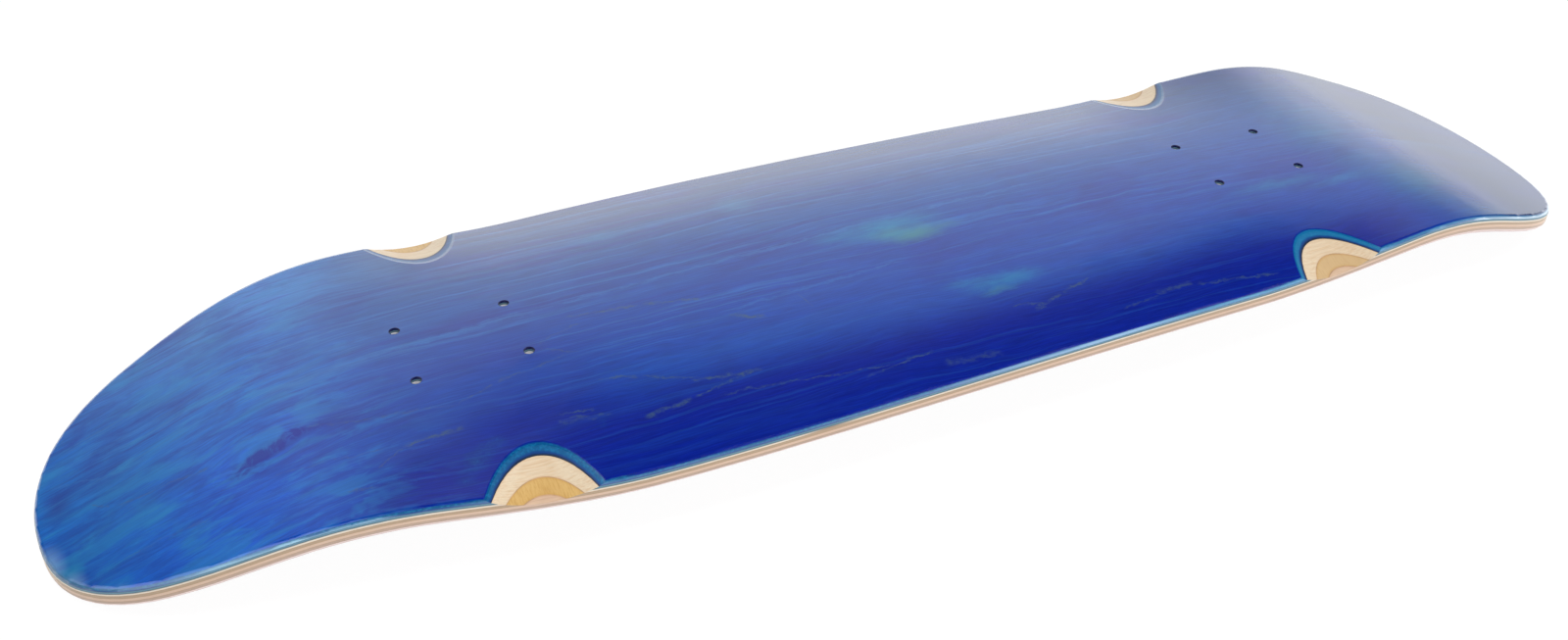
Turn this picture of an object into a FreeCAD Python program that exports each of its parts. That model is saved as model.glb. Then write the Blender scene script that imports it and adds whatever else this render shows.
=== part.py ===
import FreeCAD, Part
from BOPTools import SplitAPI
import math
import os

# Laminated skateboard deck, lying with its bottom face up on the tips of its nose and tail.
# Millimetres. +X runs along the board to the nose, +Y across it, +Z up out of the bottom face.
# The origin is under the middle of the board, on the surface that the two tips rest on.

# Truck bolt pattern, the same at both ends.
wheelbase = 393.7
bolt_pitch_along = 53.975
bolt_pitch_across = 41.275
bolt_hole_radius = 2.6

# Length, from the outer pair of bolt holes at each end to the tip.
nose_reach = 179.8
tail_reach = 173.4

# Width of the board at its widest.
deck_width = 223.2

# Veneers, counted from the bottom face, and the film of glue between each two.
bottom_face_veneer = 1.4
bottom_long_veneer = 1.9
bottom_cross_veneer = 1.4
core_veneer = 1.4
top_cross_veneer = 1.3
top_long_veneer = 1.4
top_face_veneer = 1.4
glue_film = 0.08

# Rounding of the edge, at the bottom face and at the top face.
bottom_edge_radius = 3.0
top_edge_radius = 3.0

# Bend along the board: a slow rocker between the trucks, then a bend up into each straight kick.
# A kick starts this far beyond the outer bolt holes.
rocker_radius = 7200.0
nose_kick_start = 20.5
nose_kick_radius = 236.5
nose_kick_angle = 19.8
tail_kick_start = 5.6
tail_kick_radius = 294.0
tail_kick_angle = 20.2

# Bend across the board: how far its widest rails stand off the middle, where that starts to fade
# before the inner bolt holes, and the length over which it fades into the flat kicks.
concave_depth = 14.2
concave_fade_before_bolts = 34.0
concave_fade_length = 160.0

# Wheel wells, each sanded with a round drum that dips towards the rail. They differ a little, as
# hand work does. Each row gives the end (1 is the nose), the side (1 is the +Y rail), how far the
# middle lies inboard of the middle of the bolt pattern, the depth at the rail, and how far the
# drum reaches in from the rail.
well_drum_radius = 72.0
wheel_wells = [
    (1, 1, 9.7, 4.4, 32.8),
    (1, -1, 9.7, 5.45, 30.3),
    (-1, 1, 5.3, 4.6, 31.9),
    (-1, -1, 10.6, 5.45, 30.3),
]

# Length of cutters and construction surfaces beyond what they cut.
overrun = 20.0

# Outline of half the board, from the tail tip to the nose tip: shares of half the length along
# the board, and of half the width across it.
outline_shares = [
    (-1.000, 0.000),
    (-0.994, 0.221),
    (-0.975, 0.409),
    (-0.930, 0.601),
    (-0.840, 0.764),
    (-0.680, 0.903),
    (-0.360, 0.996),
    (0.000, 0.980),
    (0.360, 0.936),
    (0.660, 0.884),
    (0.820, 0.808),
    (0.900, 0.712),
    (0.945, 0.589),
    (0.975, 0.432),
    (0.994, 0.226),
    (1.000, 0.000),
]

# Number of places at which the bent surfaces are worked out, along and across the board.
places_along = 48
places_across = 9

half_length = (tail_reach + 2 * bolt_pitch_along + wheelbase + nose_reach) / 2
half_width = deck_width / 2
trucks_middle = (tail_reach - nose_reach) / 2
outer_bolts = wheelbase / 2 + bolt_pitch_along
truck_offset = wheelbase / 2 + bolt_pitch_along / 2
fade_start = wheelbase / 2 - concave_fade_before_bolts

layers = [
    ("bottom_face_veneer", bottom_face_veneer),
    ("glue_film_1", glue_film),
    ("bottom_long_grain_veneer", bottom_long_veneer),
    ("glue_film_2", glue_film),
    ("bottom_crossband_veneer", bottom_cross_veneer),
    ("glue_film_3", glue_film),
    ("core_veneer", core_veneer),
    ("glue_film_4", glue_film),
    ("top_crossband_veneer", top_cross_veneer),
    ("glue_film_5", glue_film),
    ("top_long_grain_veneer", top_long_veneer),
    ("glue_film_6", glue_film),
    ("top_face_veneer", top_face_veneer),
]
thickness = sum(size for name, size in layers)


def spine(run, start, radius, angle):
    """Drop and slope of the middle line, at a distance from the middle of the trucks."""
    if run <= start:
        return -run ** 2 / (2 * rocker_radius), -run / rocker_radius
    first = math.atan(start / rocker_radius)
    last = math.radians(angle)
    drop = -start ** 2 / (2 * rocker_radius)
    turned = math.sin(first) + (run - start) / radius
    if turned < math.sin(last):
        bend = math.asin(turned)
        return drop - radius * (math.cos(first) - math.cos(bend)), -math.tan(bend)
    bend_end = start + radius * (math.sin(last) - math.sin(first))
    drop -= radius * (math.cos(first) - math.cos(last))
    return drop - (run - bend_end) * math.tan(last), -math.tan(last)


def middle_line(x):
    run = x - trucks_middle
    if run >= 0:
        return spine(run, outer_bolts + nose_kick_start, nose_kick_radius, nose_kick_angle)
    drop, slope = spine(-run, outer_bolts + tail_kick_start, tail_kick_radius, tail_kick_angle)
    return drop, -slope


def concave(x):
    """Curvature factor across the board and its rate of change along it."""
    full = concave_depth / half_width ** 2
    run = abs(x - trucks_middle)
    part = min(max((run - fade_start) / concave_fade_length, 0), 1)
    factor = full * (1 - part ** 2 * (3 - 2 * part))
    rate = -full * 6 * part * (1 - part) / concave_fade_length
    return factor, rate if x > trucks_middle else -rate


def bent_point(x, y, depth):
    """Point of the board at a depth below its bottom face, measured square to the face."""
    drop, slope = middle_line(x)
    factor, rate = concave(x)
    along = slope - rate * y ** 2
    across = -2 * factor * y
    normal = FreeCAD.Vector(-along, -across, 1).normalize()
    return FreeCAD.Vector(x, y, stand_height + drop - factor * y ** 2) - normal * depth


def depth_below(place):
    """Depth of a place in the board below its bottom face."""
    face = bent_point(place.x, place.y, 0)
    square = face - bent_point(place.x, place.y, thickness)
    return (face - place).dot(FreeCAD.Vector(0, 0, 1)) * square.z / thickness


def bent_surface(depth):
    rows = []
    for i in range(places_along):
        share_along = 2 * i / (places_along - 1) - 1
        row = []
        for j in range(places_across):
            share_across = 2 * j / (places_across - 1) - 1
            x = share_along * (half_length + overrun)
            y = share_across * (half_width + overrun)
            row.append(bent_point(x, y, depth))
        rows.append(row)
    surface = Part.BSplineSurface()
    surface.interpolate(rows)
    return surface.toShape()


def slab(upper_depth, lower_depth):
    """Closed sheet between two bent surfaces, larger than the board all round."""
    upper = bent_surface(upper_depth)
    lower = bent_surface(lower_depth)
    faces = [upper, lower]
    for upper_edge, lower_edge in zip(upper.Edges, lower.Edges):
        faces.append(Part.makeRuledSurface(upper_edge, lower_edge))
    shell = Part.Shell(faces)
    shell.sewShape()
    solid = Part.Solid(shell)
    if solid.Volume < 0:
        solid.reverse()
    return solid


def tip_drop(tip, angle):
    """Depth of the lowest point of an end below the middle of the bottom face."""
    lean = math.radians(angle)
    rounding = top_edge_radius * (math.tan(lean) + 1 / math.cos(lean) - 1)
    return middle_line(tip)[0] - thickness / math.cos(lean) + rounding


def arc_between(start, heading, end):
    """Arc that leaves one point in a given direction and ends at another."""
    chord = end - start
    along = chord / chord.Length
    turn = heading.dot(along)
    middle = (start + end) / 2 + (heading - along * turn) * chord.Length / (2 * (1 + turn))
    return Part.Arc(start, middle, end).toShape()


def arc_pair(start, leaving, end, arriving):
    """Two arcs that meet smoothly and join two points in given directions."""
    chord = end - start
    lean = chord.dot(leaving + arriving)
    spread = 2 * (1 - leaving.dot(arriving)) * chord.dot(chord)
    reach = chord.dot(chord) / (lean + math.sqrt(lean ** 2 + spread))
    joint = (start + end + (leaving - arriving) * reach) / 2
    return [arc_between(start, leaving, joint), arc_between(end, -arriving, joint)]


def outline_wire():
    points = [FreeCAD.Vector(a * half_length, b * half_width, 0) for a, b in outline_shares]
    points += [FreeCAD.Vector(point.x, -point.y, 0) for point in points[-2:0:-1]]
    curve = Part.BSplineCurve()
    curve.interpolate(Points=points, PeriodicFlag=True)
    knots = curve.getKnots()
    headings = [FreeCAD.Vector(*curve.tangent(knot)[0]) for knot in knots]
    arcs = []
    for i in range(len(knots) - 1):
        start = curve.value(knots[i])
        arcs += arc_pair(start, headings[i], curve.value(knots[i + 1]), headings[i + 1])
    return Part.Wire(Part.sortEdges(arcs)[0])


def rim(solid, depth):
    """Edges of the outline that lie at a depth below the bottom face."""
    edges = []
    for edge in solid.Edges:
        if all(abs(depth_below(end.Point) - depth) < glue_film for end in edge.Vertexes):
            edges.append(edge)
    return edges


def wheel_well(end, side, inboard, depth, reach):
    """Drum that sands one wheel well."""
    x = trucks_middle + end * (truck_offset - inboard)
    across = Part.makeLine(FreeCAD.Vector(x, 0, 0), FreeCAD.Vector(x, deck_width, 0))
    rail = across.distToShape(outline_wire())[1][0][0].y
    low = bent_point(x, side * rail, 0) - FreeCAD.Vector(0, 0, depth)
    high = bent_point(x, side * (rail - reach), 0)
    dip = (high - low).normalize()
    up = FreeCAD.Vector(0, -dip.z * dip.y / abs(dip.y), abs(dip.y))
    start = low + up * well_drum_radius - dip * overrun
    length = (high - low).Length + 2 * overrun
    return Part.makeCylinder(well_drum_radius, length, start, dip)


def bolt_holes():
    holes = []
    for end in (-1, 1):
        for row in (-1, 1):
            for side in (-1, 1):
                x = trucks_middle + end * truck_offset + row * bolt_pitch_along / 2
                y = side * bolt_pitch_across / 2
                foot = FreeCAD.Vector(x, y, -overrun)
                height = stand_height + 2 * overrun
                holes.append(Part.makeCylinder(bolt_hole_radius, height, foot))
    return holes


stand_height = -min(tip_drop(half_length, nose_kick_angle), tip_drop(-half_length, tail_kick_angle))

# The pressed board: the bent sheet cut upright to the outline, then its edges rounded.
blank = Part.Face(outline_wire())
blank.translate(FreeCAD.Vector(0, 0, -overrun))
cut_to_outline = blank.extrude(FreeCAD.Vector(0, 0, stand_height + 2 * overrun))
board = slab(0, thickness).common(cut_to_outline).Solids[0]
board = board.makeFillet(bottom_edge_radius, rim(board, 0))
board = board.makeFillet(top_edge_radius, rim(board, thickness))

# The sanded wells and the bolt holes.
cutters = bolt_holes()
for well in wheel_wells:
    cutters.append(wheel_well(*well))
board = board.cut(cutters).Solids[0]

# The veneers and the films of glue, parted along their bent surfaces.
layer_depths = [0]
for name, size in layers:
    layer_depths.append(layer_depths[-1] + size)
glue_lines = [bent_surface(depth) for depth in layer_depths[1:-1]]
os.makedirs("parts", exist_ok=True)
for piece in SplitAPI.slice(board, glue_lines, "Split").Solids:
    depths = [depth_below(vertex.Point) for vertex in piece.Vertexes]
    middle_depth = sum(depths) / len(depths)
    name = layers[sum(1 for depth in layer_depths[1:-1] if depth < middle_depth)][0]
    print(name, piece.isValid(), len(piece.Faces), round(piece.Volume))
    piece.exportStep("parts/" + name + ".step")
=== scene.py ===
import math

import bmesh
import bpy
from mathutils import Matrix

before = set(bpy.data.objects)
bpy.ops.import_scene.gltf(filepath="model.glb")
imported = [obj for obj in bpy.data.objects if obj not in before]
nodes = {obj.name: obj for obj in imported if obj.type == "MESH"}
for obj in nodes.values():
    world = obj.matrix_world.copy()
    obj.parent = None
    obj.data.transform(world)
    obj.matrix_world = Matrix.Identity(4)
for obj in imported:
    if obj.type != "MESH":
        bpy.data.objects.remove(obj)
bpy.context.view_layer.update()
print("deck loaded:", len(nodes), "layers")

white = (1.0, 1.0, 1.0, 1.0)
mmPerMetre = 1000.0


# Node helpers. Values may be numbers, colours or other nodes' sockets.
def add(tree, kind, **settings):
    made = tree.nodes.new("ShaderNode" + kind)
    for name, value in settings.items():
        setattr(made, name, value)
    return made


def plug(tree, socket, value):
    if isinstance(value, bpy.types.NodeSocket):
        tree.links.new(value, socket)
    else:
        socket.default_value = value


def calc(tree, operation, *values):
    made = add(tree, "Math", operation=operation)
    for socket, value in zip(made.inputs, values):
        plug(tree, socket, value)
    return made.outputs[0]


# One operation down a row of values.
def chain(tree, operation, values):
    total = values[0]
    for value in values[1:]:
        total = calc(tree, operation, total, value)
    return total


def plus(tree, *values):
    return chain(tree, "ADD", values)


def minus(tree, *values):
    return chain(tree, "SUBTRACT", values)


def times(tree, *values):
    return chain(tree, "MULTIPLY", values)


def most(tree, *values):
    return chain(tree, "MAXIMUM", values)


# A soft step from one value to another; the start may lie beyond the end.
def fade(tree, value, start, end, first=0.0, last=1.0):
    made = add(tree, "MapRange", interpolation_type="SMOOTHSTEP")
    for socket, given in zip(made.inputs, (value, start, end, first, last)):
        plug(tree, socket, given)
    return made.outputs[0]


def mix(tree, share, first, second, mode="MIX"):
    made = add(tree, "Mix", data_type="RGBA", blend_type=mode)
    plug(tree, made.inputs[0], share)  # inputs 6 and 7 are the two colours
    plug(tree, made.inputs[6], first)
    plug(tree, made.inputs[7], second)
    return made.outputs[2]


def noise(tree, place, along, across, deep, detail=3.0, rough=0.5, twist=0.0):
    scaled = add(tree, "Mapping")
    plug(tree, scaled.inputs["Vector"], place)
    scaled.inputs["Scale"].default_value = (1 / along, 1 / across, 1 / deep)
    made = add(tree, "TexNoise")
    plug(tree, made.inputs["Vector"], scaled.outputs[0])
    made.inputs["Scale"].default_value = 1.0
    made.inputs["Detail"].default_value = detail
    made.inputs["Roughness"].default_value = rough
    made.inputs["Distortion"].default_value = twist
    return made.outputs[0]


# A noise value spread evenly round zero.
def centred(tree, value, reach):
    return times(tree, minus(tree, value, 0.5), reach)


def joined(tree, *values):
    made = add(tree, "CombineXYZ")
    for socket, value in zip(made.inputs, values):
        plug(tree, socket, value)
    return made.outputs[0]


def parted(tree, vector):
    made = add(tree, "SeparateXYZ")
    tree.links.new(vector, made.inputs[0])
    return made.outputs


def facingUp(tree):
    return parted(tree, add(tree, "NewGeometry").outputs["Normal"])[2]


# A colour as a painter reads it, 0 to 255, to the renderer's linear one.
def paint(red, green, blue):
    def linear(value):
        value /= 255
        return value / 12.92 if value <= 0.04045 else ((value + 0.055) / 1.055) ** 2.4
    return (linear(red), linear(green), linear(blue), 1.0)


def newGroup(name, inputs, outputs):
    group = bpy.data.node_groups.new(name, "ShaderNodeTree")
    for socket in inputs:
        group.interface.new_socket(socket, in_out="INPUT", socket_type="NodeSocketFloat")
    for socket, kind in outputs:
        group.interface.new_socket(socket, in_out="OUTPUT", socket_type="NodeSocket" + kind)
    return group, group.nodes.new("NodeGroupOutput")


def useGroup(tree, group, **values):
    made = tree.nodes.new("ShaderNodeGroup")
    made.node_tree = group
    for name, value in values.items():
        plug(tree, made.inputs[name], value)
    return made.outputs


def newMaterial(name):
    material = bpy.data.materials.new(name)
    material.use_nodes = True
    tree = material.node_tree
    return material, tree, tree.nodes["Principled BSDF"]


def addBump(tree, shader, height, strength, distance):
    bump = add(tree, "Bump")
    bump.inputs["Strength"].default_value = strength
    bump.inputs["Distance"].default_value = distance
    tree.links.new(height, bump.inputs["Height"])
    tree.links.new(bump.outputs[0], shader.inputs["Normal"])


# The camera, where the photograph was taken from.
photoCamera = {
    "place": (-0.360866, -0.64386, 0.538624), "turn": (53.973, -1.1189, -24.3275),
    "lens": 38.878, "sensor": 36.0, "clipStart": 0.01,
}
cameraData = bpy.data.cameras.new("photoCamera")
cameraData.lens = photoCamera["lens"]
cameraData.sensor_fit = "HORIZONTAL"
cameraData.sensor_width = photoCamera["sensor"]
cameraData.clip_start = photoCamera["clipStart"]
camera = bpy.data.objects.new("photoCamera", cameraData)
camera.location = photoCamera["place"]
camera.rotation_euler = [math.radians(angle) for angle in photoCamera["turn"]]
bpy.context.scene.collection.objects.link(camera)
bpy.context.scene.camera = camera
bpy.context.scene.view_settings.view_transform = "Standard"
print("camera placed")


# The press shape of the deck, metres: it tells a material how deep below the bottom face it is.
deckBend = {
    "trucksMiddle": -0.0032, "outerBolts": 0.250825, "standHeight": 0.06078, "rockerRadius": 7.2,
    "noseStart": 0.0205, "noseRadius": 0.2365, "noseAngle": 19.8,
    "tailStart": 0.0056, "tailRadius": 0.294, "tailAngle": 20.2,
    "halfWidth": 0.1116, "concaveDepth": 0.0142, "fadeStart": 0.16285, "fadeLength": 0.160,
}


# Gives the place on the face in metres, with the depth as its third value, and the depth in mm.
def boardPlaceGroup(bend):
    group, result = newGroup("boardPlace", [], [("place", "Vector"), ("depth", "Float")])
    x, y, z = parted(group, add(group, "TexCoord").outputs["Object"])
    along = minus(group, x, bend["trucksMiddle"])
    run = calc(group, "ABSOLUTE", along)
    atNose = calc(group, "GREATER_THAN", along, 0.0)

    def perEnd(tailValue, noseValue):
        return calc(group, "MULTIPLY_ADD", atNose, noseValue - tailValue, tailValue)

    ends = []
    for end in ("tail", "nose"):
        start = bend["outerBolts"] + bend[end + "Start"]
        radius = bend[end + "Radius"]
        angle = math.radians(bend[end + "Angle"])
        lean = math.atan(start / bend["rockerRadius"])
        bendEnd = start + radius * (math.sin(angle) - math.sin(lean))
        slopes = (math.sin(lean), math.cos(lean), math.sin(angle), math.tan(angle))
        ends.append((start, radius, bendEnd, *slopes))
    values = [perEnd(*pair) for pair in zip(*ends)]
    start, radius, bendEnd, firstSine, firstCosine, lastSine, lastTangent = values

    # how far the middle line has dropped: rocker, then bend, then straight kick
    inRocker = calc(group, "MINIMUM", run, start)
    rocker = calc(group, "DIVIDE", times(group, inRocker, inRocker), -2 * bend["rockerRadius"])
    turned = calc(group, "DIVIDE", minus(group, run, start), radius)
    sine = most(group, plus(group, turned, firstSine), firstSine)
    sine = calc(group, "MINIMUM", sine, lastSine)
    cosine = calc(group, "SQRT", minus(group, 1.0, times(group, sine, sine)))
    arc = times(group, radius, minus(group, firstCosine, cosine))
    straight = times(group, most(group, minus(group, run, bendEnd), 0.0), lastTangent)
    drop = minus(group, rocker, arc, straight)

    # the concave, which fades towards the kicks
    full = bend["concaveDepth"] / bend["halfWidth"] ** 2
    factor = fade(group, run, bend["fadeStart"], bend["fadeStart"] + bend["fadeLength"], full, 0.0)
    across = times(group, factor, y)
    surface = plus(group, minus(group, drop, times(group, across, y)), bend["standHeight"])

    # the depth, square to the face
    slopeAlong = calc(group, "DIVIDE", sine, cosine)
    slopeAcross = times(group, across, 2.0)
    steep = times(group, slopeAlong, slopeAlong)
    steep = calc(group, "MULTIPLY_ADD", slopeAcross, slopeAcross, steep)
    square = calc(group, "SQRT", plus(group, steep, 1.0))
    depth = calc(group, "DIVIDE", minus(group, surface, z), square)
    plug(group, result.inputs["place"], joined(group, x, y, depth))
    plug(group, result.inputs["depth"], times(group, depth, mmPerMetre))
    return group


# A soft oval spot on the face, millimetres.
def spotGroup():
    inputs = ["x", "y", "centreX", "centreY", "reachX", "reachY"]
    group, result = newGroup("spot", inputs, [("mask", "Float")])
    given = group.nodes.new("NodeGroupInput").outputs
    x = calc(group, "DIVIDE", minus(group, given["x"], given["centreX"]), given["reachX"])
    y = calc(group, "DIVIDE", minus(group, given["y"], given["centreY"]), given["reachY"])
    far = calc(group, "SQRT", calc(group, "MULTIPLY_ADD", x, x, times(group, y, y)))
    plug(group, result.inputs["mask"], fade(group, far, 0.0, 1.0, 1.0, 0.0))
    return group


# A thin streak on the face from one place to another, millimetres, fading at both ends.
streakShape = {"widthShare": 0.75, "endFade": (0.38, 0.5, 1.0, 0.0)}


def streakGroup(shape):
    inputs = ["x", "y", "start", "end", "level", "slope", "width"]
    group, result = newGroup("streak", inputs, [("mask", "Float")])
    given = group.nodes.new("NodeGroupInput").outputs
    run = minus(group, given["x"], given["start"])
    line = calc(group, "MULTIPLY_ADD", run, given["slope"], given["level"])
    off = calc(group, "ABSOLUTE", minus(group, given["y"], line))
    near = fade(group, off, 0.0, given["width"], 1.0, 0.0)
    share = calc(group, "DIVIDE", run, minus(group, given["end"], given["start"]))
    fromMiddle = calc(group, "ABSOLUTE", minus(group, share, 0.5))
    plug(group, result.inputs["mask"], times(group, near, fade(group, fromMiddle, *shape["endFade"])))
    return group


boardPlace = boardPlaceGroup(deckBend)
spot = spotGroup()
streak = streakGroup(streakShape)


# Each row: the centre, how far the spot reaches from it each way, and its strength.
def spots(tree, x, y, rows):
    masks = []
    for centreX, centreY, reachX, reachY, strength in rows:
        made = useGroup(tree, spot, x=x, y=y, centreX=centreX, centreY=centreY, reachX=reachX, reachY=reachY)
        masks.append(times(tree, made["mask"], strength))
    return most(tree, *masks)


# Each row: where the streak starts and ends, its width and its strength.
def streaks(tree, x, y, rows):
    masks = []
    for startX, startY, endX, endY, width, strength in rows:
        slope = (endY - startY) / (endX - startX)
        line = {"start": startX, "end": endX, "level": startY, "slope": slope}
        made = useGroup(tree, streak, x=x, y=y, width=width * streakShape["widthShare"], **line)
        masks.append(times(tree, made["mask"], strength))
    return most(tree, *masks)


# The bolt holes: centres folded into one quarter of the face, their size, and how far their tint
# fades beyond it, metres.
boltHoles = {
    "truckOffset": 0.2238375, "halfPitchAlong": 0.0269875, "halfPitchAcross": 0.0206375,
    "radius": 0.0026, "faceFade": 0.0003, "woodFade": 0.0004,
}


# 1 inside a bolt hole, fading out round it.
def inBoltHole(tree, place, beyond):
    x, y = parted(tree, place)[:2]
    along = calc(tree, "ABSOLUTE", minus(tree, x, deckBend["trucksMiddle"]))
    along = calc(tree, "ABSOLUTE", minus(tree, along, boltHoles["truckOffset"]))
    along = minus(tree, along, boltHoles["halfPitchAlong"])
    across = minus(tree, calc(tree, "ABSOLUTE", y), boltHoles["halfPitchAcross"])
    reach = calc(tree, "SQRT", calc(tree, "MULTIPLY_ADD", along, along, times(tree, across, across)))
    return fade(tree, reach, boltHoles["radius"] + beyond, boltHoles["radius"])


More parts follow.
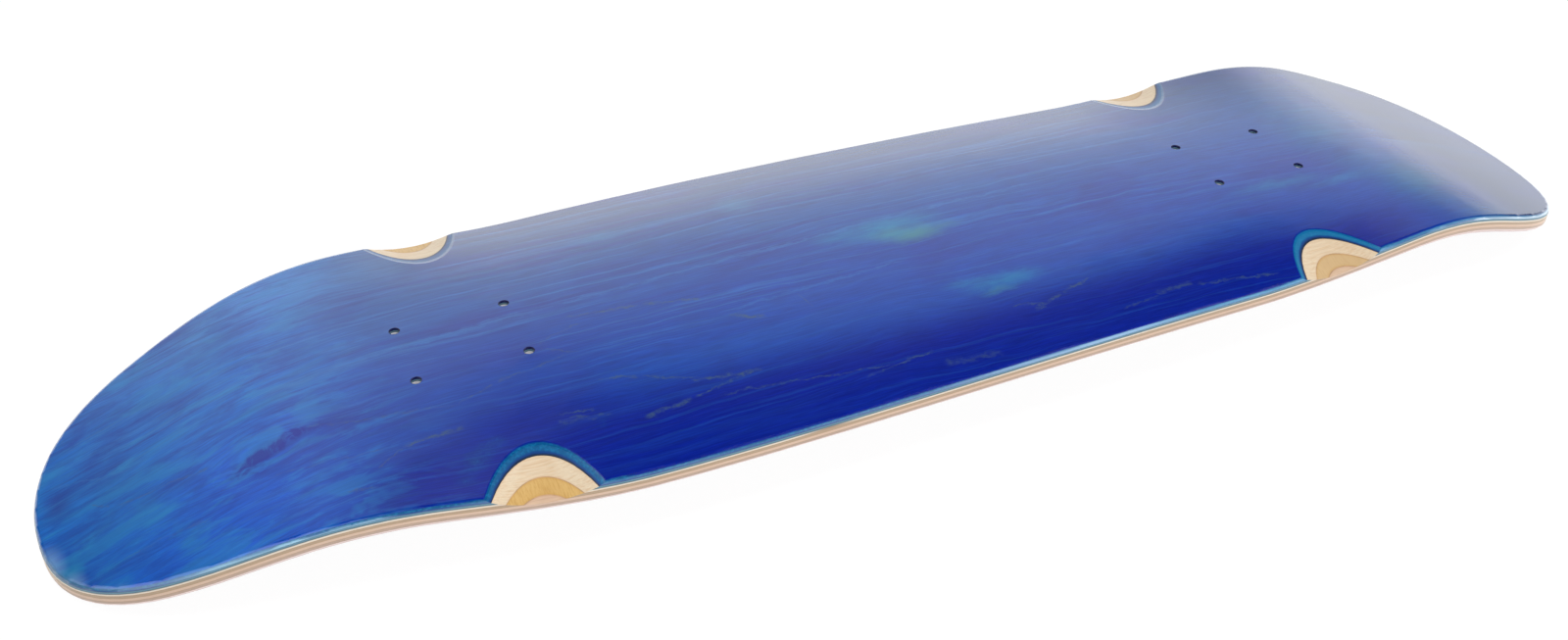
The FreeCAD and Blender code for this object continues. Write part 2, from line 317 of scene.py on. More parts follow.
# The stained bottom face: blue dye on maple under a clear coat. Places are millimetres on the face,
# x towards the nose and y towards the far rail. A fade is its start and end and the two values.
stainedFace = {
    "tones": {
        "mid": paint(10, 60, 150), "farSide": paint(12, 73, 146),
        "azure": paint(8, 98, 186), "deepAzure": paint(4, 80, 190),
        # the near rail's deep tone is partly painted shade; the far rail, nose and nose tip tones are
        # painted shade and a painted reflection
        "farTail": paint(90, 150, 210), "deep": paint(2, 26, 128), "paintedFarRailShade": paint(12, 52, 100),
        "paintedNoseShading": paint(14, 50, 92), "paintedTipReflection": paint(58, 78, 122), "bend": paint(12, 90, 138),
        "violet": paint(22, 44, 134), "mottleDark": paint(6, 56, 152), "mottlePale": paint(26, 118, 180),
        "turquoise": paint(26, 118, 162), "lime": paint(60, 130, 124), "paleLine": paint(38, 104, 172),
        "mineral": paint(58, 82, 100), "knotDark": paint(6, 26, 136),
        "ring": paint(8, 80, 126), "noseRing": paint(20, 104, 148), "ringDark": paint(10, 58, 118),
        # the hole colour: the stained wall of the bolt holes, darkened with painted shade
        "glueLine": paint(14, 34, 62), "inHole": paint(14, 24, 84),
        # the four edge tones: paler dye on the rounded edge with a painted highlight; the first also paints
        # the highlight on the tail tip's corner
        "edge": paint(132, 172, 206), "tailEdge": paint(140, 184, 208),
        "noseEdge": paint(170, 196, 216), "tealEdge": paint(44, 128, 170),
    },

    # what a pattern lies on, its size along, across and deep in metres, detail, roughness, distortion
    "grainPatterns": {
        "wander": ("flat", 0.17, 0.06, 0.05, 1.0),
        "wave": ("flat", 0.060, 0.034, 0.03, 3.0, 0.55),
    },
    "patterns": {
        "lines": ("grain", 0.24, 0.0030, 0.0030, 3.0, 0.60),
        "bands": ("grain", 0.26, 0.009, 0.009, 2.0, 0.5),
        "fibres": ("grain", 0.016, 0.0008, 0.0008, 2.0, 0.6),
        "mottle": ("grain", 0.026, 0.0064, 0.006, 5.0, 0.72, 0.5),
        "swirl": ("grain", 0.006, 0.0026, 0.0026, 3.0, 0.6, 0.8),
        "clouds": ("flat", 0.085, 0.040, 0.040, 3.0, 0.5, 0.3),
        "patchy": ("flat", 0.034, 0.013, 0.013, 3.0, 0.6, 0.6),
        "ripple": ("flat", 0.009, 0.006, 0.004, 3.0, 0.7),
        "worn": ("flat", 0.005, 0.003, 0.003, 3.0, 0.7),
        "speckle": ("place", 0.0016, 0.0016, 0.001, 2.0, 0.6),
        "wobble": ("place", 0.004, 0.004, 0.001, 3.0),
    },
    "wanderBy": 14.0, "waveBy": 7.0, "rippleBy": 7.0, "wobbleBy": 0.24, "cloudsBy": 50.0,
    "knotPlace": (-326, -31), "knotReach": (50, 30), "knotParting": -0.75,

    "fades": {
        # broad tone, by x, y or the clouds
        "farSide": (-30.0, 50.0), "deepAzure": (10.0, -35.0, 0.0, 0.9), "toTail": (-258.0, -332.0),
        "farTailAcross": (38.0, 90.0, 0.0, 0.30), "farTailAlong": (-190.0, -250.0),
        "nearRail": (-54.0, -84.0), "nearRailTailEnd": (-310.0, -262.0), "nearRailNoseEnd": (310.0, 240.0),
        "toNose": (288.0, 366.0), "toTip": (350.0, 420.0),
        "farRail": (22.0, 112.0, 0.0, 0.85), "farRailTailEnd": (-300.0, -210.0, 0.1, 1.0),
        "violetClouds": (0.50, 0.68, 0.0, 0.5), "violetAcross": (-82.0, -55.0, 0.1, 1.0),
        # where the grain lines and the mottle show
        "linesAcross": (-64.0, 10.0, 0.22, 1.0), "linesOnTail": (-250.0, -300.0, 0.0, 0.5),
        "linesToNose": (280.0, 120.0, 0.45, 1.0), "onTail": (-230.0, -330.0),
        "fibreLight": (0.30, 0.70, 0.85, 1.15), "mottleLight": (0.30, 0.70, 0.94, 1.06),
        # how the patterns break up the spots and streaks
        "uneven": (0.34, 0.60, 0.45, 1.0), "paleFibres": (0.35, 0.6, 0.3, 0.8),
        "worn": (0.38, 0.62, 0.25, 1.0), "swirl": (0.32, 0.58, 0.30, 1.0), "knot": (0.05, 0.60, 0.0, 0.85),
        # the rings round the wells, by millimetres of depth or of place
        "wobbleIn": (0.0, 0.3), "byWellAlong": (40.0, 31.0), "byWellAcross": (66.0, 73.0),
        "ringNose": (0.0, 100.0), "ringSpeckle": (0.40, 0.70, 0.0, 0.6), "ringDark": (0.85, 1.15),
        "ringAway": (0.22, 0.50, 0.0, 0.92), "ringByWell": (0.04, 0.30, 0.0, 0.92),
        "ringFarSide": (0.0, 20.0, 1.0, 0.55), "sanded": (0.84, 0.90), "glueLine": (1.14, 1.34),
        "dull": (0.3, 0.7),
        # the paler rounded edge: paler dye with a painted highlight
        "roundedFacing": (0.81, 0.62), "roundedDepth": (0.10, 0.35),
        "edgeTail": (-268.0, -310.0), "edgeTailTip": (-385.0, -345.0, 0.15, 0.95),
        "edgeMiddle": (-70.0, 60.0, 0.10, 0.70), "edgeMiddleEnd": (130.0, 70.0, 0.80, 1.0),
        "edgeNose": (270.0, 325.0),
        "tailEdgeTone": (-215.0, -260.0), "tealEdgeTone": (70.0, 130.0), "noseEdgeTone": (270.0, 320.0),
    },
    "tailLean": -0.12, "noseLean": 0.15, "wellsAlong": 215.0,
    "turquoiseShare": 0.9, "mineralShare": 0.8,
    "roughness": 0.24, "dullRoughness": 0.45, "ior": 1.5, "bumpStrength": 0.04, "bumpDistance": 0.0002,

    # pattern, fade and tone
    "grainTones": [
        ("bands", (0.52, 0.70, 0.0, 0.30), "paleLine"), ("bands", (0.46, 0.30, 0.0, 0.30), "violet"),
        ("lines", (0.48, 0.34, 0.0, 0.50), "violet"), ("lines", (0.53, 0.68, 0.0, 0.55), "paleLine"),
    ],
    "tailTones": [
        ("mottle", (0.50, 0.34, 0.0, 0.42), "mottleDark"), ("mottle", (0.53, 0.68, 0.0, 0.50), "mottlePale"),
        ("patchy", (0.50, 0.64, 0.0, 0.45), "mottlePale"), ("patchy", (0.48, 0.34, 0.0, 0.40), "mottleDark"),
    ],

    # The spots at the tail tip, near x −400 to −416, are partly dye and partly a painted reflection of the
    # turquoise glow on the tip's rounding.
    "turquoiseSpots": [
        (2, 5, 42, 14, 1.0), (-22, 8, 26, 10, 0.6), (36, -56, 32, 9, 0.8), (18, -52, 20, 5, 0.5),
        (-416, -42, 14, 20, 0.9), (-400, -52, 16, 14, 0.5), (-60, 62, 16, 18, 0.45), (-136, 62, 20, 9, 0.3),
        (224, -33, 44, 8, 0.5), (262, -40, 40, 7, 0.4), (-338, 60, 24, 40, 0.25), (-365, -62, 12, 24, 0.3),
        (-396, -30, 60, 70, 0.4),
    ],
    # a painted highlight on the rounded corner of the tail tip
    "cornerPaintedHighlight": [(-426, -34, 12, 22, 0.8), (-418, -52, 11, 14, 0.8), (-405, -68, 14, 7, 0.5)],
    "limeSpots": [(12, -5, 26, 9, 0.6), (2, -1, 20, 7, 0.4), (28, -4, 18, 5, 0.3), (30, -62, 14, 3, 0.3)],
    "deepSpots": [(-212, -70, 76, 44, 0.9), (-150, -84, 70, 26, 0.7), (168, -80, 70, 26, 0.7)],
    "bendSpots": [(290, 10, 44, 90, 0.8), (310, -50, 46, 50, 0.9), (330, -88, 46, 26, 0.6)],
    "violetSpots": [
        (-225, 8, 40, 16, 0.6), (-290, -30, 50, 14, 0.5), (-225, -20, 60, 20, 0.4), (-416, 6, 10, 18, 0.8),
    ],
    "knotSpots": [
        (-329, -34, 11, 8, 1.0), (-320, -32, 8, 7, 0.9), (-312, -29, 10, 7, 1.0), (-337, -36, 12, 7, 0.6),
        (-302, -30, 14, 5, 0.5), (-330, -42, 10, 6, 0.4),
    ],
    "mineralStreaks": [
        (-307, -28, -277, -38, 1.4, 0.5), (-277, -38, -240, -44, 1.4, 0.6), (-242, -44, -222, -36, 1.4, 0.7),
        (-222, -36, -184, -30, 1.4, 0.6), (-196, -21, -178, -31, 1.4, 0.6), (-284, -72, -270, -62, 1.4, 0.7),
        (-286, -84, -300, -79, 1.4, 0.5), (-272, -62, -242, -60, 2.0, 0.9), (-330, -50, -272, -61, 1.2, 0.4),
        (-204, -71, -177, -73, 2.4, 0.6), (-202, -67, -184, -69, 1.2, 0.8), (-178, -3, -140, -8, 1.8, 0.8),
        (-140, -8, -110, -16, 2.0, 0.9), (-196, -18, -170, -10, 1.2, 0.5), (-104, -33, -86, -40, 2.4, 1.0),
        (-66, -30, -62, -42, 2.4, 0.6), (-178, -52, -158, -56, 1.6, 0.8), (-158, -56, -130, -68, 1.4, 0.7),
        (-138, -68, -102, -73, 2.2, 0.9), (-166, -80, -140, -78, 2.6, 0.9), (-140, -78, -110, -72, 1.4, 0.7),
        (-130, -80, -40, -90, 1.3, 0.6), (-60, -94, -20, -88, 1.6, 0.7), (-20, -97, 12, -100, 3.6, 0.5),
        (40, -80, 60, -73, 1.8, 0.8), (60, -73, 80, -68, 1.8, 0.8), (30, -74, 52, -78, 1.4, 0.5),
        (106, -88, 130, -86, 2.6, 0.6), (84, -92, 108, -90, 1.4, 0.6), (130, -88, 180, -95, 1.6, 0.7),
        (-402, -5, -394, -14, 1.4, 0.6), (-392, -16, -346, -25, 1.4, 0.6), (-394, -50, -352, -56, 1.6, 0.5),
    ],
    "paleStreaks": [
        (-330, 5, -180, 8, 3.6, 0.8), (-200, 8, 120, 16, 2.2, 0.7), (-110, -30, 0, -24, 2.0, 0.5),
        (-420, 20, -380, 2, 1.2, 0.7),
    ],
}


# A fade of the stained face, by its name.
def step(tree, value, name):
    return fade(tree, value, *stainedFace["fades"][name])


# Where a point lies on the face, and the value of each pattern there.
def facePlace(tree, look):
    place, depth = useGroup(tree, boardPlace)
    along, across = parted(tree, place)[:2]
    x = times(tree, along, mmPerMetre)
    y = times(tree, across, mmPerMetre)
    at = {"place": place, "depth": depth, "x": x, "y": y, "flat": joined(tree, along, across)}
    for name, (base, *sizes) in look["grainPatterns"].items():
        at[name] = centred(tree, noise(tree, at[base], *sizes), look[name + "By"])

    # the grain wanders, waves, and parts round the knot
    nearKnot = spots(tree, x, y, [(*look["knotPlace"], *look["knotReach"], 1.0)])
    fromKnot = minus(tree, y, look["knotPlace"][1])
    parting = times(tree, fromKnot, times(tree, nearKnot, look["knotParting"]))
    grainY = plus(tree, y, at["wander"], at["wave"], parting)
    at["grain"] = joined(tree, along, calc(tree, "DIVIDE", grainY, mmPerMetre))
    for name, (base, *sizes) in look["patterns"].items():
        at[name] = noise(tree, at[base], *sizes)

    at["facing"] = facingUp(tree)
    wobble = centred(tree, at["wobble"], look["wobbleBy"])
    at["below"] = plus(tree, depth, times(tree, wobble, step(tree, depth, "wobbleIn")))
    return at


# Broad tone by place on the face, partly dye and partly painted light: the darker near rail is dye and
# painted shade, the darker far rail and nose are painted shade, and the greyer nose tip is a painted
# reflection.
def broadTone(tree, look, at):
    tones = look["tones"]
    x, y, clouds = at["x"], at["y"], at["clouds"]
    swayed = plus(tree, x, centred(tree, clouds, look["cloudsBy"]), times(tree, y, look["tailLean"]))
    azure = mix(tree, step(tree, y, "deepAzure"), tones["azure"], tones["deepAzure"])
    farTail = times(tree, step(tree, y, "farTailAcross"), step(tree, x, "farTailAlong"))
    # darker along the near rail: partly dye, partly painted shade
    nearRail = times(tree, step(tree, y, "nearRail"), step(tree, x, "nearRailTailEnd"))
    nearRail = times(tree, nearRail, step(tree, x, "nearRailNoseEnd"))
    # painted shade on the nose, turning to a painted reflection at the tip
    toNose = step(tree, plus(tree, x, times(tree, y, look["noseLean"])), "toNose")
    paintedNoseShading = mix(tree, step(tree, x, "toTip"), tones["paintedNoseShading"], tones["paintedTipReflection"])
    # painted shade along the far rail
    farRail = times(tree, step(tree, y, "farRail"), step(tree, x, "farRailTailEnd"))
    violetClouds = times(tree, step(tree, clouds, "violetClouds"), step(tree, y, "violetAcross"))
    colour = mix(tree, step(tree, y, "farSide"), tones["mid"], tones["farSide"])
    coats = [
        (step(tree, swayed, "toTail"), azure),
        (farTail, tones["farTail"]),
        (nearRail, tones["deep"]),
        (spots(tree, x, y, look["deepSpots"]), tones["deep"]),
        (spots(tree, x, y, look["bendSpots"]), tones["bend"]),
        (toNose, paintedNoseShading),
        (farRail, tones["paintedFarRailShade"]),
        (violetClouds, tones["violet"]),
        (spots(tree, x, y, look["violetSpots"]), tones["violet"]),
    ]
    for share, tone in coats:
        colour = mix(tree, share, colour, tone)
    return colour


# Grain lines, clearest on the far half and the tail, and the tail's mottle.
def grainTone(tree, look, at, colour):
    tones = look["tones"]
    zone = most(tree, step(tree, at["y"], "linesAcross"), step(tree, at["x"], "linesOnTail"))
    zone = times(tree, zone, step(tree, at["x"], "linesToNose"))
    for pattern, row, tone in look["grainTones"]:
        share = times(tree, fade(tree, at[pattern], *row), zone)
        colour = mix(tree, share, colour, tones[tone])
    colour = mix(tree, 1.0, colour, step(tree, at["fibres"], "fibreLight"), "MULTIPLY")
    onTail = step(tree, at["x"], "onTail")
    for pattern, row, tone in look["tailTones"]:
        share = times(tree, fade(tree, at[pattern], *row), onTail)
        colour = mix(tree, share, colour, tones[tone])
    return mix(tree, 1.0, colour, step(tree, at["mottle"], "mottleLight"), "MULTIPLY")


# Places where the dye took unevenly, the mineral streaks and the knot, and a painted highlight on the tail
# tip's corner.
def unevenDye(tree, look, at, colour):
    tones = look["tones"]
    x = at["x"]
    wavyY = plus(tree, at["y"], at["wave"], centred(tree, at["ripple"], look["rippleBy"]))
    patches = times(tree, spots(tree, x, wavyY, look["turquoiseSpots"]), step(tree, at["mottle"], "uneven"))
    pale = times(tree, streaks(tree, x, wavyY, look["paleStreaks"]), step(tree, at["fibres"], "paleFibres"))
    mineral = times(tree, streaks(tree, x, wavyY, look["mineralStreaks"]), step(tree, at["worn"], "worn"))
    knot = times(tree, spots(tree, x, wavyY, look["knotSpots"]), step(tree, at["swirl"], "swirl"))
    coats = [
        (times(tree, patches, look["turquoiseShare"]), tones["turquoise"]),
        (spots(tree, x, wavyY, look["limeSpots"]), tones["lime"]),
        (pale, tones["paleLine"]),
        (times(tree, mineral, look["mineralShare"]), tones["mineral"]),
        (step(tree, knot, "knot"), tones["knotDark"]),
        # painted highlight on the tail tip's corner
        (spots(tree, x, at["y"], look["cornerPaintedHighlight"]), tones["edge"]),
    ]
    for share, tone in coats:
        colour = mix(tree, share, colour, tone)
    return colour


# Below the face, round a well: a teal ring, then the dark line of the glue.
def wellRing(tree, look, at, colour):
    tones = look["tones"]
    x, y, below = at["x"], at["y"], at["below"]
    along = calc(tree, "ABSOLUTE", minus(tree, x, deckBend["trucksMiddle"] * mmPerMetre))
    along = calc(tree, "ABSOLUTE", minus(tree, along, look["wellsAlong"]))
    byWell = step(tree, calc(tree, "ABSOLUTE", y), "byWellAcross")
    byWell = times(tree, step(tree, along, "byWellAlong"), byWell)
    ring = mix(tree, step(tree, x, "ringNose"), tones["ring"], tones["noseRing"])
    ring = mix(tree, step(tree, at["speckle"], "ringSpeckle"), ring, tones["turquoise"])
    ring = mix(tree, step(tree, below, "ringDark"), ring, tones["ringDark"])
    shown = mix(tree, byWell, step(tree, below, "ringAway"), step(tree, below, "ringByWell"))
    shown = times(tree, shown, step(tree, y, "ringFarSide"))
    colour = mix(tree, shown, colour, ring)
    glued = times(tree, step(tree, below, "glueLine"), step(tree, at["facing"], "sanded"))
    return mix(tree, glued, colour, tones["glueLine"])


# Paler dye and a painted highlight on the rounded edge, by place along it: the edge is painted lighter where
# the lights would shine on it.
def roundedEdge(tree, look, at, colour):
    tones = look["tones"]
    x = at["x"]
    rounded = times(tree, step(tree, at["facing"], "roundedFacing"), step(tree, at["depth"], "roundedDepth"))
    onTail = times(tree, step(tree, x, "edgeTail"), step(tree, x, "edgeTailTip"))
    onMiddle = times(tree, step(tree, x, "edgeMiddle"), step(tree, x, "edgeMiddleEnd"))
    # the painted highlight band: steep normals just below the face, along the tail, the middle and the nose
    shown = times(tree, rounded, most(tree, onTail, onMiddle, step(tree, x, "edgeNose")))
    edgeHighlightTone = tones["edge"]
    for tone in ("tailEdge", "tealEdge", "noseEdge"):
        edgeHighlightTone = mix(tree, step(tree, x, tone + "Tone"), edgeHighlightTone, tones[tone])
    return mix(tree, shown, colour, edgeHighlightTone)


def stainedMaterial(look):
    material, tree, shader = newMaterial("blueStainedMaple")
    at = facePlace(tree, look)
    colour = broadTone(tree, look, at)
    for coat in (grainTone, unevenDye, wellRing, roundedEdge):
        colour = coat(tree, look, at, colour)
    # inside the bolt holes: the stained wall, darkened with painted shade
    inHole = inBoltHole(tree, at["place"], boltHoles["faceFade"])
    colour = mix(tree, inHole, colour, look["tones"]["inHole"])
    tree.links.new(colour, shader.inputs["Base Color"])
    dull = times(tree, step(tree, at["below"], "dull"), step(tree, at["facing"], "sanded"))
    shine = fade(tree, dull, 0.0, 1.0, look["roughness"], look["dullRoughness"])
    tree.links.new(shine, shader.inputs["Roughness"])
    shader.inputs["IOR"].default_value = look["ior"]
    addBump(tree, shader, at["fibres"], look["bumpStrength"], look["bumpDistance"])
    return material


# The other veneers: bare maple seen at the edge and in the wells. The edges are the depths in mm
# between which each lies, and side is its colour on the board's edge.
veneers = {
    "bottom_long_grain_veneer": {
        "wood": paint(213, 196, 170), "dark": paint(202, 174, 142), "side": paint(224, 215, 202),
        "grain": "along", "edges": (1.48, 3.38),
    },
    "bottom_crossband_veneer": {
        "wood": paint(202, 166, 106), "dark": paint(184, 144, 82), "side": paint(172, 153, 136),
        "noseWood": paint(194, 168, 134), "grain": "across", "edges": (3.46, 4.86),
    },
    "core_veneer": {
        "wood": paint(204, 176, 150), "dark": paint(190, 156, 132), "side": paint(212, 186, 166),
        "grain": "along", "edges": (4.94, 6.34),
    },
    "top_crossband_veneer": {
        "wood": paint(206, 180, 166), "dark": paint(176, 146, 128), "side": paint(182, 160, 144),
        "grain": "across", "edges": (6.42, 7.72),
    },
    "top_long_grain_veneer": {
        "wood": paint(228, 208, 204), "dark": paint(202, 176, 170), "side": paint(238, 220, 216),
        "grain": "along", "edges": (7.80, 9.20),
    },
    "top_face_veneer": {
        "wood": paint(222, 204, 208), "dark": paint(196, 172, 174),
        "grain": "along", "edges": (9.28, 10.68),
    },
}

# What these veneers share. Patterns: size in metres each way, detail and roughness.
bareMaple = {
    "streaks": {"along": (0.060, 0.0009, 0.0009, 3.0, 0.6), "across": (0.0009, 0.060, 0.0009, 3.0, 0.6)},
    "fine": {"along": (0.0075, 0.00045, 0.0003, 2.0, 0.6), "across": (0.0001125, 0.0075, 0.0003, 2.0, 0.6)},
    "clouds": (0.030, 0.030, 0.010, 3.0),
    "streakFade": (0.42, 0.68, 0.0, 0.75), "cloudFade": (0.40, 0.70, 0.0, 0.35),
    "fineLight": (0.25, 0.75, 0.94, 1.05), "noseFade": (-0.05, 0.05, 0.0, 0.65),
    "railFacing": (0.84, 0.70), "sideShare": 0.85,
    # the hole colour is painted light: near white, so the lit wall inside the bolt holes shows bright
    "edgeReach": 0.22, "upperEdge": 0.55, "lowerEdge": 0.45, "inHole": paint(246, 246, 250),
    "roughness": 0.45, "specular": 0.25, "bumpStrength": 0.25, "bumpDistance": 0.0002,
}

# The dye that has run a little way over the rounded edge, and a brown mark on the near edge.
overrun = {
    "tint": paint(94, 132, 152), "depths": (2.55, 2.40),
    "edge": paint(84, 100, 102), "edgeSpot": (2.35, 0, 0.40, 1, 0.9),
    "mark": paint(96, 70, 56), "markSpot": (-86, -114, 20, 8, 0.9),
}


def overrunTone(tree, look, place, depth, atRail, colour):
    along, across = parted(tree, place)[:2]
    x = times(tree, along, mmPerMetre)
    y = times(tree, across, mmPerMetre)
    colour = mix(tree, spots(tree, x, y, [look["markSpot"]]), colour, look["mark"])
    covered = times(tree, atRail, fade(tree, depth, *look["depths"]))
    colour = mix(tree, covered, colour, look["tint"])
    rim = times(tree, atRail, spots(tree, depth, 0.0, [look["edgeSpot"]]))
    return mix(tree, rim, colour, look["edge"])


def veneerMaterial(name, look, wood):
    material, tree, shader = newMaterial(name.replace("_veneer", "_maple"))
    place, depth = useGroup(tree, boardPlace)
    streaky = noise(tree, place, *wood["streaks"][look["grain"]])
    fine = noise(tree, place, *wood["fine"][look["grain"]])
    cloudy = noise(tree, place, *wood["clouds"])
    colour = mix(tree, fade(tree, streaky, *wood["streakFade"]), look["wood"], look["dark"])
    colour = mix(tree, fade(tree, cloudy, *wood["cloudFade"]), colour, look["dark"])
    colour = mix(tree, 1.0, colour, fade(tree, fine, *wood["fineLight"]), "MULTIPLY")
    if "noseWood" in look:
        toNose = fade(tree, parted(tree, place)[0], *wood["noseFade"])
        colour = mix(tree, toNose, colour, look["noseWood"])
    atRail = fade(tree, facingUp(tree), *wood["railFacing"])
    if "side" in look:
        colour = mix(tree, times(tree, atRail, wood["sideShare"]), colour, look["side"])
    top, foot = look["edges"]
    upper = fade(tree, depth, top, top + wood["edgeReach"], wood["upperEdge"], 0.0)
    lower = fade(tree, depth, foot - wood["edgeReach"], foot, 0.0, wood["lowerEdge"])
    colour = mix(tree, most(tree, upper, lower), colour, look["dark"])
    # painted light: the bolt holes' walls near white, as if lit
    colour = mix(tree, inBoltHole(tree, place, boltHoles["woodFade"]), colour, wood["inHole"])
    if name == "bottom_long_grain_veneer":
        colour = overrunTone(tree, overrun, place, depth, atRail, colour)
    tree.links.new(colour, shader.inputs["Base Color"])
    shader.inputs["Roughness"].default_value = wood["roughness"]
    shader.inputs["Specular IOR Level"].default_value = wood["specular"]
    addBump(tree, shader, streaky, wood["bumpStrength"], wood["bumpDistance"])
    return material


# The films of glue: the first has taken the stain.
glueFilm = {
    "tint": paint(172, 136, 102), "stainedTint": paint(16, 34, 52),
    "patches": (0.006, 0.006, 0.002, 2.0), "patchLight": (0.3, 0.7, 0.8, 1.25), "roughness": 0.4,
}


def glueMaterial(name, tint, look):
    material, tree, shader = newMaterial(name)
    patchy = noise(tree, useGroup(tree, boardPlace)["place"], *look["patches"])
    colour = mix(tree, 1.0, tint, fade(tree, patchy, *look["patchLight"]), "MULTIPLY")
    tree.links.new(colour, shader.inputs["Base Color"])
    shader.inputs["Roughness"].default_value = look["roughness"]
    return material


def dress(node, material):
    if not node.material_slots:
        node.data.materials.append(material)
    for slot in node.material_slots:
        slot.material = material


dress(nodes["bottom_face_veneer"], stainedMaterial(stainedFace))
for name, look in veneers.items():
    dress(nodes[name], veneerMaterial(name, look, bareMaple))
clearGlue = glueMaterial("clearGlue", glueFilm["tint"], glueFilm)
stainedGlue = glueMaterial("stainedGlue", glueFilm["stainedTint"], glueFilm)
for number in range(1, 7):
    dress(nodes["glue_film_" + str(number)], stainedGlue if number == 1 else clearGlue)
print("veneers and glue dressed")


# Pale table, white surround, a soft studio light from behind that fades towards the ceiling, and a
# long strip light just in front of overhead. Heights are the sine of the elevation, turns are
# degrees from the back towards the nose, and a fade is its start and end and the two values.
studio = {
    "floorSize": 12.0, "floorTint": paint(236, 236, 236), "floorRoughness": 0.9,
    "floorWhite": 1.06, "floorShown": 0.90, "floorGlow": 1.8, "floorGlowShare": 0.85,
    "ceiling": 0.01,
    # the light behind: strength by height, its top, and its sides, which bow and lean
    "backHeight": (0.22, 0.46, 2.2, 1.35), "backTop": (0.64, 0.87, 1.0, 0.0),
    "dipLeft": (25.0, 0.0038), "dipRight": (42.0, 0.012),
    "backLeft": (-31.0, -20.0), "backRight": (57.5, 48.0),
    "bowLow": (0.24, 0.02, 0.0, 3.5), "bowHigh": (0.22, 0.33, 0.0, 1.4),
    # its paler and darker parts, each by turn and then by height
    "thinned": ((22.0, 36.0), (0.28, 0.36, 0.0, 0.12)), "thinnedTop": (0.52, 0.42),
    "brighter": ((10.0, -6.0, 0.0, 0.38), (0.38, 0.46)),
    "dimmer": ((-14.0, -20.0, 0.0, 0.60), (0.49, 0.515)),
    "dimmerTop": ((24.0, 12.0, 0.0, 0.50), (0.69, 0.75)),
    # the low light in front, stronger towards the nose
    "frontAcross": (0.1, -0.3), "frontHeight": (0.60, 0.90, 0.6, 0.0), "frontAlong": (0.2, 0.9, 1.0, 3.2),
    # softboxes that only the shine shows: in front, to the left and to the right. Over is degrees from
    # the back across the top
    "softboxOver": (122.0, 150.0, 0.0, 3.0), "softboxFoot": (0.0, 0.05),
    "softboxTail": (0.06, -0.20, 0.05, 1.0), "softboxNose": (0.32, 0.52),
    "leftBox": ((-54.0, -68.0), (0.20, 0.40, 0.0, 3.6)), "leftBoxEnd": (-125.0, -105.0),
    "rightBox": ((76.0, 88.0), (0.60, 0.40, 0.0, 1.6)),
    "stripSize": (2.6, 0.35), "stripPlace": (0.05, -0.50, 1.28), "stripPower": 22.0,
}


def makeFloor(look):
    shape = bmesh.new()
    bmesh.ops.create_grid(shape, x_segments=1, y_segments=1, size=look["floorSize"] / 2)
    mesh = bpy.data.meshes.new("table")
    shape.to_mesh(mesh)
    shape.free()
    floor = bpy.data.objects.new("table", mesh)
    bpy.context.scene.collection.objects.link(floor)
    material, tree, shader = newMaterial("paleTable")
    shader.inputs["Base Color"].default_value = look["floorTint"]
    shader.inputs["Roughness"].default_value = look["floorRoughness"]
    shader.inputs["Specular IOR Level"].default_value = 0.0
    rays = add(tree, "LightPath").outputs

    # the table as the camera sees it, then as the board's shine does
    surface = shader.outputs[0]
    seenBy = [
        ("Is Camera Ray", look["floorWhite"], look["floorShown"]),
        ("Is Glossy Ray", look["floorGlow"], look["floorGlowShare"]),
    ]
    for ray, strength, share in seenBy:
        glow = add(tree, "Emission")
        glow.inputs["Color"].default_value = white
        glow.inputs["Strength"].default_value = strength
        shown = add(tree, "MixShader")
        plug(tree, shown.inputs[0], times(tree, rays[ray], share))
        tree.links.new(surface, shown.inputs[1])
        tree.links.new(glow.outputs[0], shown.inputs[2])
        surface = shown.outputs[0]
    tree.links.new(surface, tree.nodes["Material Output"].inputs["Surface"])
    mesh.materials.append(material)


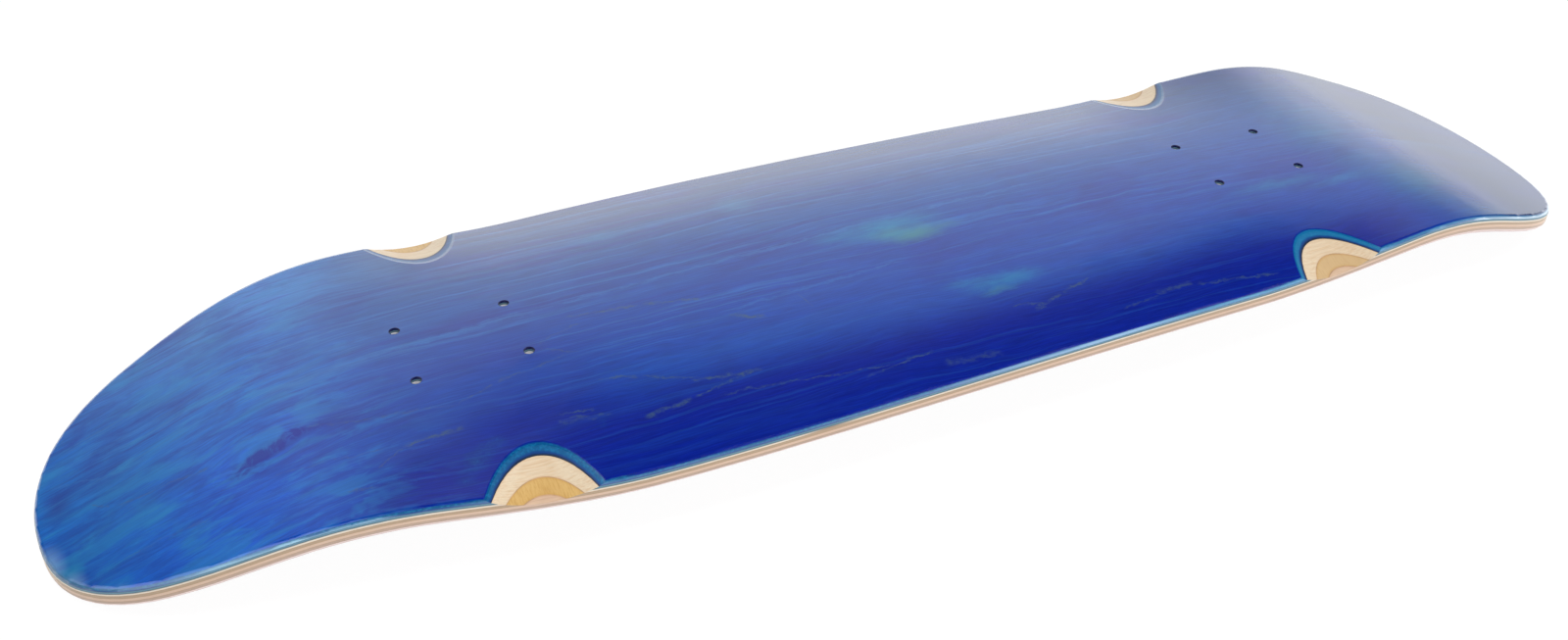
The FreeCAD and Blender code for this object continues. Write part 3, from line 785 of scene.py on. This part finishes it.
# How strong the surround's light is from each direction.
def surroundLight(tree, look, glossyRay):
    x, y, z = parted(tree, add(tree, "TexCoord").outputs["Generated"])
    turn = times(tree, calc(tree, "ARCTAN2", x, y), math.degrees(1.0))

    def patch(name):
        byTurn, byHeight = look[name]
        return times(tree, fade(tree, turn, *byTurn), fade(tree, z, *byHeight))

    # the light behind
    high = fade(tree, z, *look["backHeight"])
    high = times(tree, high, plus(tree, patch("brighter"), 1.0))
    leftStart, leftRate = look["dipLeft"]
    dipLeft = times(tree, most(tree, minus(tree, leftStart, turn), 0.0), leftRate)
    rightStart, rightRate = look["dipRight"]
    dipRight = times(tree, most(tree, minus(tree, turn, rightStart), 0.0), rightRate)
    top = fade(tree, plus(tree, z, most(tree, dipLeft, dipRight)), *look["backTop"])
    bowed = minus(tree, turn, fade(tree, z, *look["bowLow"]))
    bowed = plus(tree, bowed, fade(tree, z, *look["bowHigh"]))
    sides = times(tree, fade(tree, turn, *look["backLeft"]), fade(tree, bowed, *look["backRight"]))
    thinned = times(tree, patch("thinned"), fade(tree, z, *look["thinnedTop"]))
    sides = times(tree, sides, minus(tree, 1.0, thinned))
    dimmer = most(tree, patch("dimmer"), patch("dimmerTop"))
    sides = times(tree, sides, minus(tree, 1.0, dimmer))
    back = times(tree, high, top, sides)

    # the low light in front
    front = times(tree, fade(tree, y, *look["frontAcross"]), fade(tree, z, *look["frontHeight"]))
    front = times(tree, front, fade(tree, x, *look["frontAlong"]))
    light = plus(tree, most(tree, back, front), look["ceiling"])

    # softboxes seen only in the shine, most of all on the rounded edges
    over = times(tree, calc(tree, "ARCTAN2", z, y), math.degrees(1.0))
    box = times(tree, fade(tree, over, *look["softboxOver"]), fade(tree, z, *look["softboxFoot"]))
    boxEnds = most(tree, fade(tree, x, *look["softboxTail"]), fade(tree, x, *look["softboxNose"]))
    box = times(tree, box, boxEnds)
    fromLeft = times(tree, patch("leftBox"), fade(tree, turn, *look["leftBoxEnd"]))
    box = most(tree, box, fromLeft, patch("rightBox"))
    return plus(tree, light, times(tree, box, glossyRay))


def makeSurround(look):
    world = bpy.data.worlds.new("studio")
    bpy.context.scene.world = world
    world.use_nodes = True
    tree = world.node_tree
    tree.nodes.clear()
    rays = add(tree, "LightPath").outputs
    lit = add(tree, "Background")
    lit.inputs["Color"].default_value = white
    plug(tree, lit.inputs["Strength"], surroundLight(tree, look, rays["Is Glossy Ray"]))
    plain = add(tree, "Background")
    plain.inputs["Color"].default_value = white
    plain.inputs["Strength"].default_value = 1.0
    seen = add(tree, "MixShader")
    tree.links.new(rays["Is Camera Ray"], seen.inputs[0])
    tree.links.new(lit.outputs[0], seen.inputs[1])
    tree.links.new(plain.outputs[0], seen.inputs[2])
    tree.links.new(seen.outputs[0], add(tree, "OutputWorld").inputs["Surface"])


def makeStrip(look):
    data = bpy.data.lights.new("stripLight", "AREA")
    data.shape = "RECTANGLE"
    data.size, data.size_y = look["stripSize"]
    data.energy = look["stripPower"]
    light = bpy.data.objects.new("stripLight", data)
    light.location = look["stripPlace"]
    # leaned about its own length to face the deck
    light.rotation_euler = (math.atan2(-look["stripPlace"][1], look["stripPlace"][2]), 0, 0)
    light.visible_glossy = False
    bpy.context.scene.collection.objects.link(light)


makeFloor(studio)
makeSurround(studio)
makeStrip(studio)
print("studio lit")
